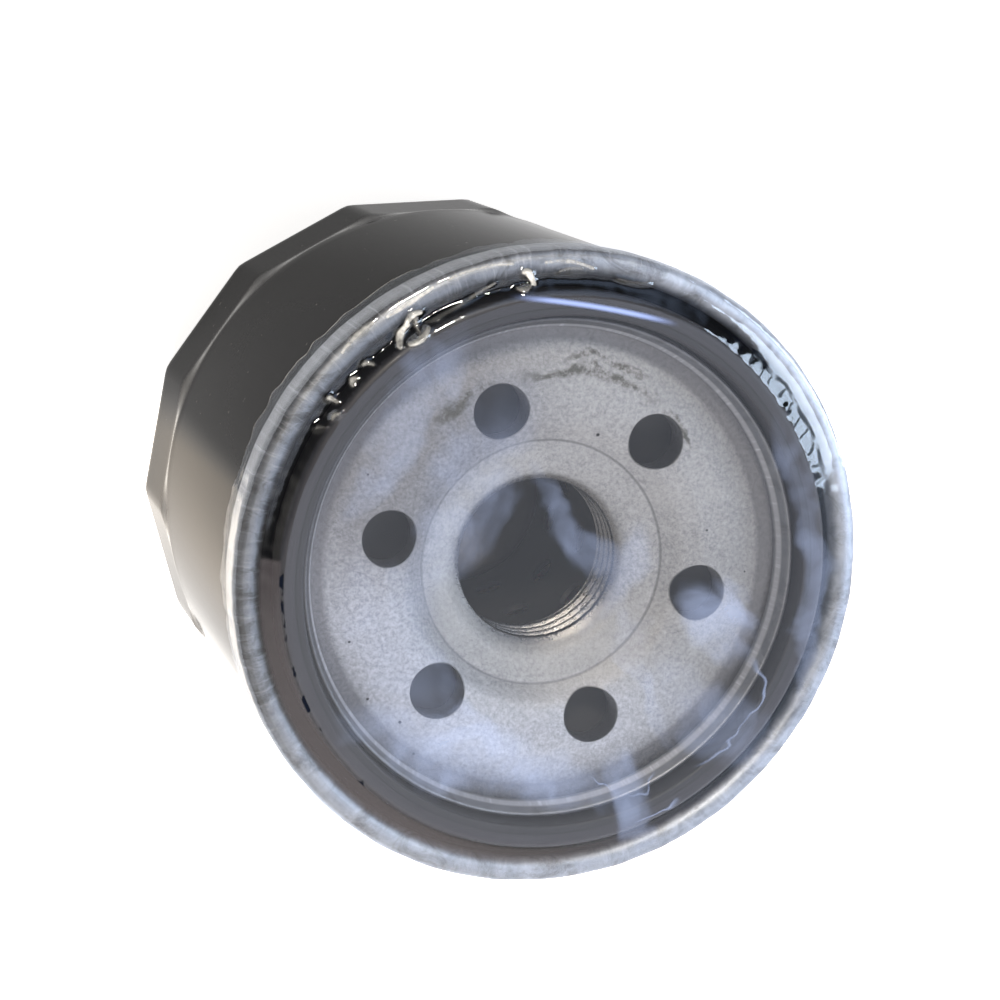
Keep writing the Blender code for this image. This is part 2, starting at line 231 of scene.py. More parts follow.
def apply_modifiers(obj):
    depsgraph = bpy.context.evaluated_depsgraph_get()
    mesh = bpy.data.meshes.new_from_object(obj.evaluated_get(depsgraph))
    obj.modifiers.clear()
    obj.data = mesh
    return obj


def cut(obj, cutter, sharp_deg=40.0):
    boolean = obj.modifiers.new("Cut", "BOOLEAN")
    boolean.operation = "DIFFERENCE"
    boolean.solver = "EXACT"
    boolean.object = cutter
    apply_modifiers(obj)
    bpy.data.objects.remove(cutter, do_unlink=True)
    smooth(obj.data, sharp_deg)
    return obj


def joined(name, parts):
    """One mesh from several, in their world places."""
    bm = bmesh.new()
    for part in parts:
        part.data.transform(part.matrix_world)
        bm.from_mesh(part.data)
        bpy.data.objects.remove(part, do_unlink=True)
    mesh = bpy.data.meshes.new(name)
    bm.to_mesh(mesh)
    bm.free()
    return new_object(name, mesh)


# Materials

class Shader:
    """A node tree with short calls: values that are sockets are linked."""

    def __init__(self, name):
        self.material = bpy.data.materials.new(name)
        self.material.use_nodes = True
        self.tree = self.material.node_tree
        self.tree.nodes.clear()
        self.out = self.tree.nodes.new("ShaderNodeOutputMaterial")
        self.place = self.tree.nodes.new("ShaderNodeTexCoord").outputs["Object"]

    def add(self, kind, settings=None, **inputs):
        made = self.tree.nodes.new("ShaderNode" + kind)
        for key, value in (settings or {}).items():
            setattr(made, key, value)
        for key, value in inputs.items():
            if value is not None:
                self.put(made, key.replace("_", " "), value)
        return made

    def put(self, made, key, value):
        socket = made.inputs[int(key[1:])] if key[0] == "i" and key[1:].isdigit() else made.inputs[key]
        if isinstance(value, bpy.types.NodeSocket):
            self.tree.links.new(value, socket)
        else:
            socket.default_value = value

    def math(self, operation, a, b=0.0, clamp=False):
        made = self.add("Math", {"operation": operation, "use_clamp": clamp}, i0=a, i1=b)
        return made.outputs[0]

    def plus(self, a, b, clamp=False):
        return self.math("ADD", a, b, clamp)

    def minus(self, a, b):
        return self.math("SUBTRACT", a, b)

    def times(self, a, b, clamp=False):
        return self.math("MULTIPLY", a, b, clamp)

    def most(self, a, b):
        return self.math("MAXIMUM", a, b)

    def magnitude(self, a):
        return self.math("ABSOLUTE", a)

    def rest(self, share):
        return self.math("SUBTRACT", 1.0, share)

    def length(self, x, y):
        return self.math("SQRT", self.plus(self.times(x, x), self.times(y, y)))

    def toward(self, x, y, azimuth):
        """How far a point lies along an azimuth."""
        return self.plus(self.times(x, math.cos(azimuth)), self.times(y, math.sin(azimuth)))

    def wrapped(self, angle, high, low):
        return self.add("Math", {"operation": "WRAP"}, i0=angle, i1=high, i2=low).outputs[0]

    def split(self, vector=None):
        return self.add("SeparateXYZ", Vector=vector or self.place).outputs

    def ramp(self, value, stops):
        made = self.add("ValToRGB", Fac=value)
        ends = made.color_ramp.elements
        while len(ends) < len(stops):
            ends.new(0.5)
        for end, (place, colour) in zip(ends, stops):
            end.position = place
            end.color = (*colour, 1.0) if isinstance(colour, tuple) else (colour, colour, colour, 1.0)
        return made.outputs["Color"]

    def spots(self, value, low, high):
        """0 up to low, 1 from high: the peaks of a noise."""
        return self.ramp(value, [(0.0, 0.0), (low, 0.0), (high, 1.0)])

    def noise(self, scale, detail=4.0, rough=0.55, where=None, distort=0.0):
        made = self.add("TexNoise", Vector=where or self.place, Scale=scale, Detail=detail, Roughness=rough,
                        Distortion=distort)
        return made.outputs["Fac"]

    def stretch(self, scales):
        return self.add("Mapping", Vector=self.place, Scale=scales).outputs["Vector"]

    def polar(self, round_scale=1.0):
        """(radius, angle x round_scale, height) of a point about the axis, in metres and radians."""
        x, y, z = self.split()
        angle = self.times(self.math("ARCTAN2", y, x), round_scale)
        return self.length(x, y), angle, z

    def turned(self, radius, angle, across, around, detail, rough):
        """Noise stretched round the axis: across per metre outward, around per radian."""
        place = self.add("CombineXYZ", X=self.times(radius, across), Y=self.times(angle, around), Z=0.0)
        return self.noise(1.0, detail, rough, place.outputs[0])

    def blend(self, fac, a, b):
        return self.add("Mix", {"data_type": "RGBA"}, Factor=fac, i6=a, i7=b).outputs[2]

    def cover(self, base, mask, share, colour):
        """base, with a share of colour over it where the mask is 1."""
        return self.blend(self.times(mask, share), base, colour)

    def fall(self, value, low, high):
        """1 below low, 0 above high, smooth between."""
        return self.rise(value, low, high, 1.0, 0.0)

    def rise(self, value, low, high, at_low=0.0, at_high=1.0):
        """0 below low, 1 above high, smooth between."""
        made = self.add("MapRange", {"interpolation_type": "SMOOTHSTEP"}, Value=value, From_Min=low,
                        From_Max=high, To_Min=at_low, To_Max=at_high)
        return made.outputs[0]

    def within(self, value, low_mm, high_mm):
        return self.fall(value, mm(low_mm), mm(high_mm))

    def before(self, angle, low_deg, high_deg):
        return self.fall(angle, math.radians(low_deg), math.radians(high_deg))

    def beyond(self, value, low_mm, high_mm):
        return self.rest(self.within(value, low_mm, high_mm))

    def line(self, value, at_mm, inner_mm, outer_mm):
        """1 where value is at_mm, falling to 0 either side."""
        return self.within(self.magnitude(self.minus(value, mm(at_mm))), inner_mm, outer_mm)

    def near(self, x_mm, y_mm, reach_mm):
        """1 within reach of a point on the base, seen along the axis."""
        x, y, z = self.split()
        far = self.length(self.minus(x, mm(x_mm)), self.minus(y, mm(y_mm)))
        return self.fall(far, mm(reach_mm), mm(reach_mm + reach_mm * 0.9))

    def bump(self, height, strength, distance_mm):
        made = self.add("Bump", Height=height, Strength=strength, Distance=mm(distance_mm))
        return made.outputs["Normal"]

    def finish(self, base, rough, normal, **more):
        made = self.add("BsdfPrincipled", Base_Color=base, Roughness=rough, Normal=normal, **more)
        self.tree.links.new(made.outputs[0], self.out.inputs["Surface"])
        return self.material


def rgb(r, g, b):
    return (r, g, b, 1.0)


def grey(level):
    return rgb(level, level, level)


PAINT_IOR = 1.032
SHOULDER_Z = 17.7
SHOULDER_REACH = 1.8


def black_paint():
    """Satin baked paint over drawn steel: fine streaks, orange peel, dust, and a painted highlight along the
    shoulder.
    """
    s = Shader("can_black_paint")
    drawn = s.noise(1.0, 3.0, 0.6, s.stretch((1400.0, 1400.0, 60.0)))
    peel = s.noise(1500.0, 2.0)
    cloud = s.noise(45.0, 3.0)
    dust = s.spots(s.noise(1300.0, 1.0, 0.4), 0.785, 0.80)
    base = s.blend(cloud, rgb(0.009, 0.0085, 0.0085), rgb(0.014, 0.0135, 0.013))
    base = s.cover(base, drawn, 0.25, rgb(0.020, 0.019, 0.019))
    # painted highlight: a pale line along the shoulder of the flutes
    shoulder = s.times(shoulder_highlight_mask(s), s.plus(0.55, s.times(cloud, 0.45)))
    base = s.cover(base, shoulder, 0.9, rgb(0.30, 0.295, 0.285))
    base = s.cover(base, dust, 0.3, rgb(0.25, 0.23, 0.20))
    rough = s.plus(0.10, s.times(drawn, 0.05))
    normal = s.bump(s.plus(s.times(drawn, 0.5), peel), 0.08, 0.03)
    return s.finish(base, rough, normal, IOR=PAINT_IOR)


def shoulder_highlight_mask(s):
    """Painted highlight along the fold round the top of the flutes, weaker at some points of it."""
    radius, angle, height = s.polar()
    across = s.plus(s.times(angle, FLUTES / 2.0), -FLUTE_PHASE * FLUTES / 2.0)
    middle = s.plus(0.7, s.times(s.magnitude(s.math("SINE", across)), 0.3))
    return s.times(s.line(height, SHOULDER_Z, 0.0, SHOULDER_REACH), middle)


def galvanised():
    """Zinc-coated sheet: blotches, dark stains, fine scratches across the roll, and a duller inner lip;
    painted shade on one side of the roll and down in the groove.
    """
    s = Shader("lid_galvanised")
    radius, angle, height = s.polar()
    across = s.turned(radius, angle, 260.0, 70.0, 4.0, 0.7)
    blotch = s.ramp(s.noise(420.0, 6.0, 0.7, None, 0.8), [(0.32, 0.0), (0.66, 1.0)])
    fine = s.noise(1700.0, 3.0, 0.6)
    stain = s.spots(s.noise(190.0, 6.0, 0.75, None, 1.2), 0.50, 0.66)
    base = s.blend(blotch, rgb(0.33, 0.36, 0.41), rgb(0.56, 0.60, 0.67))
    base = s.cover(base, stain, 0.6, rgb(0.13, 0.125, 0.12))
    # painted shade: the roll is darker on the side that faces azimuth 158, patchy where it is stained
    side_shade = s.times(painted_side(s, radius, 158.0), s.plus(0.5, s.times(stain, 0.4)))
    base = s.blend(side_shade, base, rgb(0.10, 0.105, 0.11))
    # painted shade, nearly black, low on the roll on that same side
    low_side_shade = s.times(painted_side(s, radius, 158.0), s.within(height, 63.0, 63.9))
    base = s.cover(base, low_side_shade, 0.75, rgb(0.045, 0.042, 0.038))
    scratch = s.spots(across, 0.52, 0.70)
    base = s.cover(base, scratch, 0.25, rgb(0.68, 0.70, 0.75))
    lip = s.within(radius, 26.9, 27.4)
    base = s.cover(base, lip, 0.65, rgb(0.14, 0.138, 0.145))
    edge = s.line(radius, 26.0, 0.08, 0.26)
    base = s.blend(s.times(edge, s.plus(0.55, s.times(scratch, 0.45))), base, rgb(0.85, 0.86, 0.90))
    # painted shade: near black, with little shine and no metal, down in the groove between the gasket and the
    # roll
    groove_shade = s.times(s.within(height, 61.6, 63.0), s.within(radius, 32.2, 32.6))
    groove_shade = s.times(groove_shade, s.beyond(radius, 26.9, 27.6))
    base = s.blend(groove_shade, base, grey(0.004))
    rough = s.plus(0.46, s.times(blotch, 0.14))
    shine = s.minus(0.5, s.times(groove_shade, 0.45))
    normal = s.bump(s.plus(across, s.times(fine, 0.6)), 0.45, 0.06)
    metal = s.minus(0.9, s.times(groove_shade, 0.9))
    return s.finish(base, rough, normal, Metallic=metal, Specular_IOR_Level=shine)


def painted_side(s, radius, azimuth_deg):
    """1 on the side that faces an azimuth, 0 on the other side: where light or shade is painted."""
    x, y, z = s.split()
    along = s.toward(x, y, math.radians(azimuth_deg))
    return s.rest(s.fall(s.math("DIVIDE", along, radius), 0.1, 0.75))


def plate_steel():
    """Matt, mottled pressed plate with heat marks, stains, scratches and specks, with painted light and shade
    on its sides and painted shade in its crease, holes, outer edge and neck.
    """
    s = Shader("plate_mottled_steel")
    radius, angle, height = s.polar()
    mottle = s.ramp(s.noise(2300.0, 6.0, 0.85), [(0.38, 0.0), (0.62, 1.0)])
    cloud = s.ramp(s.noise(170.0, 5.0, 0.6, None, 0.8), [(0.3, 0.0), (0.7, 1.0)])
    grain = s.noise(4200.0, 2.0, 0.6)
    scratch = s.spots(s.noise(1.0, 3.0, 0.6, s.stretch((3500.0, 260.0, 300.0))), 0.64, 0.72)
    base = s.blend(mottle, grey(0.20), rgb(0.44, 0.435, 0.43))
    base = s.cover(base, cloud, 0.30, rgb(0.47, 0.46, 0.44))
    base = s.cover(base, scratch, 0.22, rgb(0.62, 0.61, 0.60))
    # painted shade: a dark line along the crease round the hub
    crease = s.line(radius, 13.36, 0.05, 0.22)
    base = s.cover(base, crease, 0.6, grey(0.10))
    # painted shade: darker on the side that faces azimuth 172, outside the hub
    shaded_side = s.times(painted_side(s, radius, 172.0), s.beyond(radius, 11.0, 15.0))
    base = s.cover(base, shaded_side, 0.65, s.blend(mottle, rgb(0.08, 0.08, 0.09), rgb(0.22, 0.22, 0.24)))
    # painted light: lighter and bluer on the side that faces azimuth 255, outside the hub
    bright = s.times(painted_side(s, radius, 255.0), s.beyond(radius, 12.0, 18.0))
    base = s.cover(base, bright, 0.6, s.blend(mottle, rgb(0.36, 0.38, 0.42), rgb(0.74, 0.76, 0.83)))
    # painted shade: darker round the outer edge, beside the lid's lip
    rim = s.beyond(radius, 23.7, 24.7)
    base = s.cover(base, rim, 0.6, rgb(0.085, 0.082, 0.09))
    crust = crust_mask(s, radius)
    base = s.cover(base, crust, 0.95, rgb(0.080, 0.077, 0.062))
    for x, y, reach in SPECKS:
        base = s.blend(s.near(x, y, reach), base, rgb(0.012, 0.011, 0.010))
    # painted shade: dark on the walls of the inlet holes
    bore = hole_mask(s, radius, angle)
    base = s.cover(base, bore, 0.8, grey(0.05))
    # the threaded neck: smoother and more metallic, and darker, which is painted shade down in the bore
    neck = s.within(radius, 9.0, 9.8)
    base = s.cover(base, neck, 0.6, rgb(0.16, 0.155, 0.15))
    rough = s.plus(0.46, s.times(mottle, 0.16))
    rough = s.minus(rough, s.times(neck, 0.24))
    relief = s.plus(s.times(mottle, 0.5), s.times(grain, 0.5))
    relief = s.plus(relief, s.times(crust, 1.4))
    normal = s.bump(relief, 0.5, 0.05)
    metal = s.plus(0.45, s.times(neck, 0.5))
    return s.finish(base, rough, normal, Metallic=metal)


def hole_mask(s, radius, angle):
    """1 on the walls of the six inlet holes."""
    sector = TAU / HOLES
    turned = s.wrapped(angle, sector / 2.0, -sector / 2.0)
    dx = s.minus(s.times(radius, s.math("COSINE", turned)), mm(HOLE_PCD_R))
    dy = s.times(radius, s.math("SINE", turned))
    return s.fall(s.length(dx, dy), mm(HOLE_R + 0.03), mm(HOLE_R + 0.2))


SPECKS = (
    (2.40, 14.75, 0.13), (-16.0, -17.4, 0.10), (-9.6, -22.6, 0.10), (-19.4, -11.6, 0.09), (16.9, 6.9, 0.08),
    (-12.0, -19.3, 0.12), (22.6, 3.1, 0.07), (-21.4, 6.2, 0.07),
)
CRUST_ARCS = (
    # heat marks: radius, half width, middle azimuth, half angle
    (20.9, 0.55, 90.0, 26.0), (22.4, 0.40, 86.0, 15.0), (20.8, 0.6, 130.0, 13.0), (20.6, 0.35, 57.0, 9.0),
)


def crust_mask(s, radius):
    """Broken, crusty heat marks where the plate was welded to the lid."""
    x, y, z = s.split()
    wander = s.times(s.minus(s.noise(210.0, 4.0, 0.6), 0.5), mm(5.0))
    total = None
    for middle, half_width, azimuth, half_angle in CRUST_ARCS:
        facing = s.math("DIVIDE", s.toward(x, y, math.radians(azimuth)), radius)
        ends = s.rise(facing, cos_deg(half_angle), cos_deg(half_angle * 0.4))
        off = s.magnitude(s.minus(s.plus(radius, wander), mm(middle)))
        spot = s.times(s.fall(off, mm(half_width * 0.3), mm(half_width * 1.5)), ends)
        total = spot if total is None else s.most(total, spot)
    ragged = s.spots(s.noise(520.0, 9.0, 0.8), 0.44, 0.54)
    return s.times(total, ragged, True)


def gasket_rubber():
    """Nitrile with moulding rings, a pale bloom and a darker inner step."""
    s = Shader("gasket_nitrile")
    radius, angle, height = s.polar(0.5)
    rings = s.turned(radius, angle, 2600.0, 6.0, 3.0, 0.6)
    bloom = s.noise(160.0, 4.0, 0.65, None, 0.7)
    base = s.blend(bloom, rgb(0.014, 0.013, 0.016), rgb(0.030, 0.028, 0.034))
    base = s.blend(s.times(s.ramp(rings, [(0.45, 0.0), (0.75, 1.0)]), 0.35), base, rgb(0.05, 0.05, 0.056))
    inner = s.within(radius, 28.1, 28.35)
    base = s.cover(base, inner, 0.55, rgb(0.010, 0.010, 0.011))
    groove = s.line(radius, 28.25, 0.04, 0.13)
    base = s.blend(groove, base, grey(0.004))
    rough = s.plus(0.42, s.times(bloom, 0.25))
    normal = s.bump(rings, 0.25, 0.04)
    return s.finish(base, rough, normal)


def valve_rubber():
    s = Shader("valve_rubber")
    fine = s.noise(1800.0, 3.0)
    base = s.blend(s.noise(220.0), grey(0.010), rgb(0.022, 0.021, 0.021))
    return s.finish(base, 0.55, s.bump(fine, 0.3, 0.03))


SMOKE_REFLECTION_BANDS = (
    # a band of painted bluish reflection: x, y of its middle, azimuth it runs along, half length, half width,
    # strength
    (-20.5, 11.0, 250.0, 11.0, 3.2, 0.55),
    (-12.0, 4.5, 262.0, 14.0, 4.2, 0.50),
    (-14.5, -12.5, 310.0, 12.0, 3.6, 0.30),
    (-3.5, -20.6, 352.0, 14.0, 3.9, 1.00),
    (1.2, 4.6, 318.0, 8.5, 1.7, 0.55),
    (6.0, 1.5, 80.0, 6.0, 2.6, 0.50),
    (12.0, -8.5, 312.0, 8.0, 1.6, 0.35),
    (13.5, -22.5, 300.0, 5.5, 2.0, 0.80),
    (21.5, -12.5, 320.0, 7.0, 3.2, 0.55),
    (28.0, 3.5, 280.0, 13.0, 1.8, 0.60),
    (25.5, 13.5, 300.0, 8.0, 1.5, 0.50),
    (18.4, -1.0, 330.0, 5.5, 3.2, 1.00),
)
# a painted bluish reflection along a taut fold over the gasket's edge: the same values as an arc below
SLIVER_REFLECTION = (0.9, -69.9, 98.3, 92.3, 5.6, 0.45)
SMOKE_HIGHLIGHT_ARCS = (
    # a painted highlight along a fine crease: x, y of its arc's centre, radius, middle azimuth, half angle,
    # half width
    (17.5, -11.0, 7.6, 350.0, 62.0, 0.28),
    (10.0, -16.0, 6.2, 292.0, 40.0, 0.22),
    (20.0, -27.5, 6.4, 128.0, 34.0, 0.22),
    (-28.0, 2.0, 62.0, 343.0, 6.0, 0.30),
)


def arc_mask(s, place, x, y, radius, azimuth, half_angle, half_width):
    """1 along an arc on the base, fading at both ends; place is the point's split vector."""
    dx = s.minus(place[0], mm(x))
    dy = s.minus(place[1], mm(y))
    far = s.length(dx, dy)
    off = s.magnitude(s.minus(far, mm(radius)))
    facing = s.math("DIVIDE", s.toward(dx, dy, math.radians(azimuth)), s.most(far, mm(0.01)))
    ends = s.rise(facing, cos_deg(half_angle), cos_deg(half_angle * 0.35))
    return s.times(s.fall(off, 0.0, mm(half_width)), ends)


def smoke_reflection_mask(s):
    """Soft, feathered bands of painted bluish reflection on the film, with painted highlights along fine
    creases.
    """
    drift = s.add("TexNoise", Vector=s.place, Scale=90.0, Detail=3.0, Roughness=0.55, Distortion=0.4)
    shift = s.add("VectorMath", {"operation": "SUBTRACT"}, i0=drift.outputs["Color"], i1=(0.5, 0.5, 0.5))
    push = s.add("VectorMath", {"operation": "SCALE"}, i0=shift.outputs[0], Scale=0.012)
    warped = s.add("VectorMath", {"operation": "ADD"}, i0=s.place, i1=push.outputs[0])
    place = s.split(warped.outputs[0])
    total = None
    for x, y, azimuth, half_length, half_width, strength in SMOKE_REFLECTION_BANDS:
        dx = s.minus(place[0], mm(x))
        dy = s.minus(place[1], mm(y))
        turn = math.radians(azimuth)
        c, n = math.cos(turn), math.sin(turn)
        along = s.plus(s.times(dx, c / mm(half_length)), s.times(dy, n / mm(half_length)))
        across = s.plus(s.times(dx, -n / mm(half_width)), s.times(dy, c / mm(half_width)))
        far = s.plus(s.times(along, along), s.times(across, across))
        band = s.times(s.fall(far, 0.0, 1.6), strength)
        total = band if total is None else s.most(total, band)
    wisps = s.ramp(s.noise(140.0, 4.0, 0.6, None, 1.0), [(0.0, 0.25), (0.35, 0.35), (0.65, 1.0)])
    total = s.times(total, wisps)
    for arc in SMOKE_HIGHLIGHT_ARCS:
        total = s.most(total, s.times(arc_mask(s, place, *arc), 0.9))
    return s.math("MINIMUM", total, 1.0)


def groove_veil(s, radius, angle):
    """Painted brownish reflection on the film bridging the groove, from one abrupt end on round the far side,
    with dark dashes and painted shade between the beads.
    """
    turned = s.wrapped(angle, TAU, 0.0)
    begins = s.rest(s.before(turned, 186.0, 187.0))
    ends = s.before(turned, 240.0, 345.0)
    across = s.times(s.within(radius, 31.5, 32.2), s.beyond(radius, 29.6, 30.1))
    veil_reflection = s.times(s.times(begins, ends), across)
    specks = s.spots(s.turned(radius, angle, 500.0, 11.0, 2.0, 0.5), 0.56, 0.60)
    window = s.times(begins, s.before(turned, 238.0, 252.0))
    line = s.line(radius, 29.75, 0.10, 0.30)
    dashes = s.times(s.times(specks, window), line)
    return veil_reflection, s.most(dashes, bead_gap_shade(s, radius, angle))


def bead_gap_shade(s, radius, angle):
    """Painted shade: dark gaps between the pinched beads of film on the bright side, and behind them."""
    side = s.times(s.before(s.times(angle, -1.0), -36.0, -24.0),
                  s.before(angle, 60.0, 72.0))
    wobble = s.times(s.minus(s.noise(260.0, 2.0, 0.5), 0.5), 6.0)
    phase = s.plus(s.times(angle, 54.0), wobble)
    between = s.fall(s.magnitude(s.math("SINE", phase)), 0.10, 0.42)
    drift = s.times(s.minus(s.noise(330.0, 2.0), 0.5), mm(1.6))
    place = s.plus(radius, drift)
    row = s.times(s.within(place, 30.7, 31.1), s.beyond(place, 29.6, 29.9))
    behind = s.line(place, 31.15, 0.12, 0.42)
    broken = s.spots(s.noise(420.0, 2.0, 0.6), 0.36, 0.52)
    gaps = s.most(s.times(between, row), s.times(behind, broken))
    return s.times(s.times(gaps, side), 0.85)


SMOKE_REFLECTION_SHARE = 0.33
VEIL_REFLECTION_SHARE = 0.45
CURL_HIGHLIGHT_SHARE = 0.9
SLIVER_REFLECTION_SHARE = 0.85


def clear_film():
    """Thin clear shrink film: see-through, mirror-like skin, with painted reflections in milky bluish bands,
    a brownish veil and a blue sliver, painted highlights on the curls and painted shade between the beads.
    """
    s = Shader("film_clear")
    radius, angle, height = s.polar()
    waves = s.noise(60.0, 3.0, 0.5, None, 0.8)
    normal = s.bump(waves, 0.12, 0.5)
    skin = s.add("LayerWeight", Blend=0.35, Normal=normal).outputs["Fresnel"]
    share = s.plus(s.times(skin, 0.12), 0.066, True)
    share = s.times(share, s.rest(s.times(s.within(height, 58.0, 62.5), 0.6)))

    def matt(r, g, b):
        return s.add("BsdfDiffuse", Color=rgb(r, g, b))

    def over(below, share, shader):
        return s.add("MixShader", Fac=share, i1=below.outputs[0], i2=shader.outputs[0])

    clear = s.add("BsdfTransparent", Color=rgb(0.965, 0.97, 0.985))
    gloss = s.add("BsdfGlossy", Color=rgb(0.86, 0.92, 1.0), Roughness=0.09, Normal=normal)
    layers = over(clear, share, gloss)
    # painted reflection: milky bluish bands
    layers = over(layers, s.times(smoke_reflection_mask(s), SMOKE_REFLECTION_SHARE), matt(0.58, 0.70, 1.0))
    veil_reflection, dashes = groove_veil(s, radius, angle)
    # painted reflection: brownish over the groove
    layers = over(layers, s.times(veil_reflection, VEIL_REFLECTION_SHARE), matt(0.115, 0.10, 0.098))
    # dark dashes along the gasket's edge, and painted shade between the beads
    layers = over(layers, dashes, matt(0.006, 0.008, 0.014))
    # painted highlight: pale cream on the curls and along the film's lower edge
    curl = s.add("Attribute", {"attribute_name": CURL_NAME}).outputs["Fac"]
    uneven = s.ramp(s.noise(900.0, 3.0, 0.7), [(0.3, 0.3), (0.55, 1.0)])
    patchy = s.times(s.fall(curl, 0.80, 0.25), uneven)
    layers = over(layers, s.times(patchy, CURL_HIGHLIGHT_SHARE), matt(0.93, 0.88, 0.76))
    # painted reflection: a blue sliver along the fold
    finished = over(layers, s.times(arc_mask(s, s.split(), *SLIVER_REFLECTION), SLIVER_REFLECTION_SHARE), matt(0.46, 0.57, 0.95))
    s.tree.links.new(finished.outputs[0], s.out.inputs["Surface"])
    return s.material


def bright_sheet(name, tint, rough_low=0.22):
    """Tinned or oiled steel sheet for the pieces inside the can."""
    s = Shader(name)
    oil = s.noise(140.0, 4.0, 0.6, None, 0.5)
    fine = s.noise(1500.0, 3.0)
    r, g, b = tint
    base = s.blend(oil, rgb(r * 0.7, g * 0.7, b * 0.7), rgb(r, g, b))
    rough = s.plus(rough_low, s.times(oil, 0.25))
    return s.finish(base, rough, s.bump(fine, 0.2, 0.03), Metallic=1.0)


def filter_paper():
    s = Shader("media_paper")
    fibre = s.noise(1.0, 6.0, 0.75, s.stretch((2600.0, 2600.0, 700.0)))
    cloud = s.noise(90.0, 3.0)
    base = s.blend(fibre, rgb(0.50, 0.38, 0.20), rgb(0.80, 0.68, 0.45))
    base = s.cover(base, cloud, 0.3, rgb(0.62, 0.50, 0.30))
    return s.finish(base, 0.88, s.bump(fibre, 0.5, 0.08))


def soft_compound(name, low, high, roughness):
    s = Shader(name)
    cloud = s.noise(260.0, 5.0, 0.6, None, 0.7)
    base = s.blend(cloud, rgb(*low), rgb(*high))
    return s.finish(base, roughness, s.bump(s.noise(900.0, 3.0), 0.3, 0.05))


LIT_AZIMUTH = math.radians(293.6)
LIT_EDGE = (-18.0, -11.5)
SHADE_AZIMUTH = math.radians(95.0)
SHADE_EDGE = (8.0, 22.0)
BASE_GLOW = 0.86
POOL_GLOW = 3.7
# beside the can, on the side where its wall mirrors at a glancing angle, the pool is weaker
DIM_X = (-41.0, -26.0)
DIM_SHARE = 0.72


def floor_white():
    """Pale sheet that glows as if lit from below, with a painted warm pool of light on one side that the can
    mirrors.
    """
    s = Shader("floor_pale")
    cloud = s.noise(6.0, 2.0)
    base = s.blend(cloud, rgb(0.84, 0.825, 0.80), rgb(0.88, 0.865, 0.84))
    x, y, z = s.split()
    lit = s.beyond(s.toward(x, y, LIT_AZIMUTH), *LIT_EDGE)
    shade = s.plus(s.times(s.within(s.toward(x, y, SHADE_AZIMUTH), *SHADE_EDGE), 0.93), 0.07)
    radius, angle, height = s.polar()
    pool = s.times(s.times(lit, shade), s.within(radius, 62.0, 120.0))
    dim = s.times(s.beyond(x, *DIM_X), s.within(radius, 48.0, 58.0))
    pool = s.times(pool, s.rest(s.times(dim, DIM_SHARE)))
    colour = s.blend(pool, rgb(1.0, 0.985, 0.96), rgb(1.0, 0.87, 0.71))
    glow = s.plus(BASE_GLOW, s.times(pool, POOL_GLOW))
    return s.finish(base, 0.75, None, Emission_Color=colour, Emission_Strength=glow)


def dress(obj, material):
    obj.data.materials.clear()
    obj.data.materials.append(material)
    return obj


def place_piece(obj, body, node, material):
    """Gives a new piece its material and body, and hides the CAD node it replaces."""
    dress(obj, material)
    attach(obj, body)
    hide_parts(node)
    return obj


# Can

def flute_radius(angle, circle_r, corner_r=2.6):
    """Fluted section inside a circle; an arc of corner_r eases each corner."""
    sector = TAU / FLUTES
    offset = np.abs((angle - FLUTE_PHASE) % sector - sector / 2.0)
    flat_r = circle_r * math.cos(sector / 2.0)
    centre_r = (flat_r - corner_r) / math.cos(sector / 2.0)
    to_corner = sector / 2.0 - offset
    reach = centre_r * np.sin(to_corner)
    eased = centre_r * np.cos(to_corner) + np.sqrt(np.maximum(corner_r ** 2 - reach ** 2, 0.0))
    tangent = math.atan2(centre_r * math.sin(sector / 2.0), flat_r)
    return np.where(offset > tangent, eased, flat_r / np.cos(offset))


def can_profile():
    """(r, z, share of flute) down the outside, densest round the flutes' shoulder."""
    neck = [(33.5, 61.5), (32.95, 60.8, 0.5), (32.95, 58.0, 0.5), (BODY_R, 56.8, 0.8), (BODY_R, 55.0)]
    rows = [(r, z, 0.0) for r, z in rounded(neck)]
    rows += [(BODY_R, z, 0.0) for z in np.linspace(54.0, FLUTE_TOP_Z + 0.4, 16)]
    for z in np.linspace(FLUTE_TOP_Z, FLUTE_FULL_Z, 14):
        share = float(1.0 - smooth_step(FLUTE_FULL_Z, FLUTE_TOP_Z, z))
        rows.append((mix(BODY_R, FLUTE_R, share), z, share))
    rows += [(FLUTE_R, z, 1.0) for z in (15.0, 13.0, 11.0, 9.0, 7.5, 6.2)]
    dome_r = 28.2
    edge_z = 5.4
    for k in range(13):
        a = math.pi / 2.0 * k / 12
        r = dome_r + (FLUTE_R - dome_r) * math.cos(a)
        z = edge_z * (1.0 - math.sin(a))
        rows.append((r, z, math.cos(a) ** 0.7))
    end = rounded([(27.0, 0.0), (18.6, 0.0, 1.2), (16.6, 1.0, 1.2), (6.0, 1.0), (0.4, 1.0)])
    rows += [(r, z, 0.0) for r, z in spaced(end, 2.0)]
    return rows


